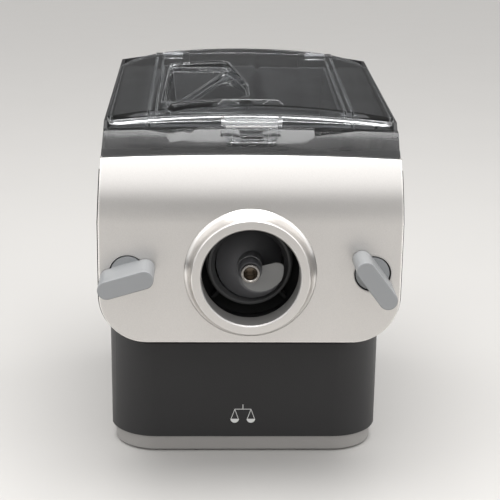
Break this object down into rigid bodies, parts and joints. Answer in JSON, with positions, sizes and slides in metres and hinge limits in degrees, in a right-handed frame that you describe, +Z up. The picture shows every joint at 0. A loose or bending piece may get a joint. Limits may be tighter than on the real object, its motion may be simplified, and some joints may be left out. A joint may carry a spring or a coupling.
{
  "type": "electric pasta maker",
  "caption": "Electric pasta maker with a mixing chamber under a clear lid, an extrusion screw in a front tube, clamp knobs and keys.",
  "frame": {"origin": "middle of the footprint, on the surface that the machine stands on", "axes": "+X to the viewer's right, +Y from the front panel to the rear cover, +Z up"},
  "size_m": [0.217, 0.347, 0.3042],
  "materials": {
    "dark_housing": "satin",
    "silver_panel": "satin",
    "polished_ring": "polished",
    "grey_base": "satin",
    "knob_grey": "satin",
    "smoked_window": "gloss",
    "clear_lid": "gloss",
    "dark_grey_plastic": "satin",
    "black_gloss": "gloss",
    "key_grey": "satin",
    "key_silver": "satin",
    "black_rubber": "matte",
    "steel": "satin",
    "bright_steel": "polished",
    "screw_grey": "satin",
    "stirrer_grey": "satin",
    "motor_steel": "satin",
    "gearbox_grey": "satin",
    "white_gear": "satin",
    "brass_gear": "satin",
    "circuit_green": "gloss",
    "black_plastic": "satin"
  },
  "bodies": {
    "housing": {"base_tray": "grey_base", "rubber_feet": "black_rubber", "load_cells": "steel", "base_screws": "steel", "main_housing": "dark_housing", "top_frame": "dark_housing", "rear_top_cover": "dark_housing", "rear_cover": "dark_housing", "rear_cover_screws": "steel", "front_window": "smoked_window", "front_panel": "silver_panel", "panel_ring": "polished_ring", "mixing_chamber": "dark_grey_plastic", "chamber_seal": "black_rubber", "extrusion_tube": "dark_grey_plastic", "shaft_seal": "black_rubber", "motor_case": "motor_steel", "motor_gearhead": "motor_steel", "motor_cradle": "motor_steel", "gearbox_case": "gearbox_grey", "gearbox_cover": "gearbox_grey", "output_bearing": "steel", "circuit_board": "circuit_green", "control_panel": "black_gloss", "display_window": "black_gloss", "power_inlet": "black_plastic", "lid_switch": "black_plastic"},
    "drive": {"drive_shaft": "steel", "output_gear": "white_gear", "stirring_bar": "stirrer_grey", "extrusion_screw": "screw_grey", "screw_bush": "bright_steel"},
    "layshaft": {"layshaft_pin": "steel", "layshaft_gears": "white_gear"},
    "motor_output": {"motor_shaft": "steel", "motor_pinion": "brass_gear"},
    "left_knob": {"left_knob": "knob_grey", "left_knob_cam": "dark_grey_plastic"},
    "right_knob": {"right_knob": "knob_grey", "right_knob_cam": "dark_grey_plastic"},
    "lid": {"lid_shell": "clear_lid", "lid_hinge_pins": "steel", "latch_pin": "steel"},
    "latch": {"lid_latch": "clear_lid"},
    "power_key": {"power_button": "key_silver"},
    "program_key": {"program_button": "key_grey"},
    "weigh_key": {"weigh_button": "key_grey"},
    "extrude_key": {"extrude_button": "key_grey"},
    "start_key": {"start_button": "key_silver"}
  },
  "joints": [
    {"name": "screw_spin", "type": "hinge", "parent": "housing", "child": "drive", "pos_m": [0, 0, 0.179], "axis": [0, 1, 0], "continuous": true},
    {"name": "layshaft_spin", "type": "hinge", "parent": "housing", "child": "layshaft", "pos_m": [0.01877, 0, 0.10136], "axis": [0, 1, 0], "continuous": true},
    {"name": "motor_spin", "type": "hinge", "parent": "housing", "child": "motor_output", "pos_m": [0, 0, 0.058], "axis": [0, 1, 0], "continuous": true},
    {"name": "left_knob_turn", "type": "hinge", "parent": "housing", "child": "left_knob", "pos_m": [-0.087, -0.1445, 0.179], "axis": [0, -1, 0], "range_deg": [-16.5, 73.5]},
    {"name": "right_knob_turn", "type": "hinge", "parent": "housing", "child": "right_knob", "pos_m": [0.087, -0.1445, 0.179], "axis": [0, -1, 0], "range_deg": [-37, 53]},
    {"name": "lid_hinge", "type": "hinge", "parent": "housing", "child": "lid", "pos_m": [0, 0.09095, 0.29716], "axis": [-1, 0, 0], "range_deg": [0, 85]},
    {"name": "latch_hinge", "type": "hinge", "parent": "lid", "child": "latch", "pos_m": [0, -0.125, 0.2838], "axis": [-1, 0, 0], "range_deg": [0, 50]},
    {"name": "power_press", "type": "slide", "parent": "housing", "child": "power_key", "axis": [0, -0.1564, -0.9877], "range_m": [0, 0.0012], "stiffness_N_per_m": 400},
    {"name": "program_press", "type": "slide", "parent": "housing", "child": "program_key", "axis": [0, -0.1564, -0.9877], "range_m": [0, 0.0012], "stiffness_N_per_m": 400},
    {"name": "weigh_press", "type": "slide", "parent": "housing", "child": "weigh_key", "axis": [0, -0.1564, -0.9877], "range_m": [0, 0.0012], "stiffness_N_per_m": 400},
    {"name": "extrude_press", "type": "slide", "parent": "housing", "child": "extrude_key", "axis": [0, -0.1564, -0.9877], "range_m": [0, 0.0012], "stiffness_N_per_m": 400},
    {"name": "start_press", "type": "slide", "parent": "housing", "child": "start_key", "axis": [0, -0.1564, -0.9877], "range_m": [0, 0.0012], "stiffness_N_per_m": 400}
  ],
  "couplings": [
    {"joint": "layshaft_spin", "follows": "screw_spin", "ratio": -3.1765},
    {"joint": "motor_spin", "follows": "screw_spin", "ratio": 8.5952}
  ]
}
